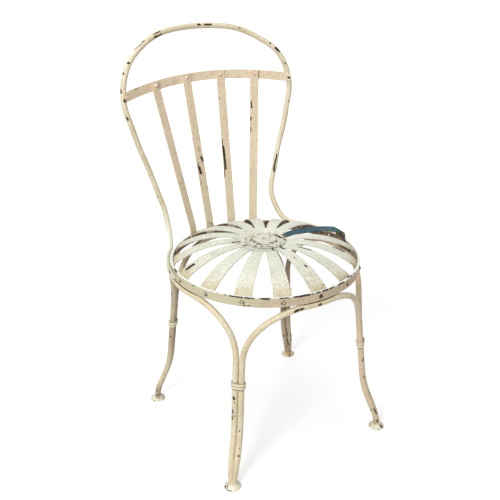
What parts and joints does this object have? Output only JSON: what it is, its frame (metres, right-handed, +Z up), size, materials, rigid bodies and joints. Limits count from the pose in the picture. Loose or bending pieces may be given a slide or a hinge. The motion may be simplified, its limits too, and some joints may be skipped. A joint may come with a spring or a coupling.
{
  "type": "metal bistro chair",
  "caption": "Steel bistro chair with a round sprung seat of radiating slats in a flat rim, paired arch-rod legs with collars, and a hoop back with a riveted band and flat slats.",
  "frame": {"origin": "on the floor, at the middle of the chair's outline seen from above", "axes": "+Z up, -Y towards the front, +X to the right of someone who faces the chair's front"},
  "size_m": [0.442, 0.526, 0.886],
  "materials": {
    "frame_paint": "old cream enamel, chipped, semi-gloss",
    "back_paint": "old beige enamel, chipped",
    "rim_paint": "old beige enamel, chipped on the edges",
    "seat_paint": "thick off-white enamel, worn",
    "teal_paint": "old blue-green enamel, worn to rust at the rim"
  },
  "bodies": {
    "root": {"back_hoop": "frame_paint", "back_slat_foot_rivets": "back_paint", "back_slat_left_inner": "back_paint", "back_slat_left_outer": "back_paint", "back_slat_right_inner": "back_paint", "back_slat_right_outer": "back_paint", "cross_band": "back_paint", "cross_band_end_rivets": "back_paint", "cross_band_slat_rivets": "back_paint", "foot_back_left": "frame_paint", "foot_back_right": "frame_paint", "foot_front_left": "frame_paint", "foot_front_right": "frame_paint", "hoop_end_rivets": "frame_paint", "hub_cap": "seat_paint", "hub_center_rivet": "seat_paint", "hub_cover_disc": "seat_paint", "hub_rivets": "seat_paint", "hub_under_plate": "seat_paint", "leg_arch_back": "frame_paint", "leg_arch_front": "frame_paint", "leg_arch_left": "frame_paint", "leg_arch_right": "frame_paint", "leg_collar_back_left": "frame_paint", "leg_collar_back_right": "frame_paint", "leg_collar_front_left": "frame_paint", "leg_collar_front_right": "frame_paint", "rim_rivets": "rim_paint", "seat_rim": "rim_paint", "seat_slat_01": "seat_paint", "seat_slat_02": "seat_paint", "seat_slat_03": "seat_paint", "seat_slat_04": "seat_paint", "seat_slat_05": "teal_paint", "seat_slat_06": "seat_paint", "seat_slat_07": "seat_paint", "seat_slat_08": "seat_paint", "seat_slat_09": "seat_paint", "seat_slat_10": "seat_paint", "seat_slat_11": "seat_paint", "seat_slat_12": "seat_paint", "seat_slat_13": "seat_paint", "seat_slat_14": "seat_paint", "seat_slat_15": "seat_paint", "seat_slat_16": "seat_paint"}
  },
  "joints": []
}
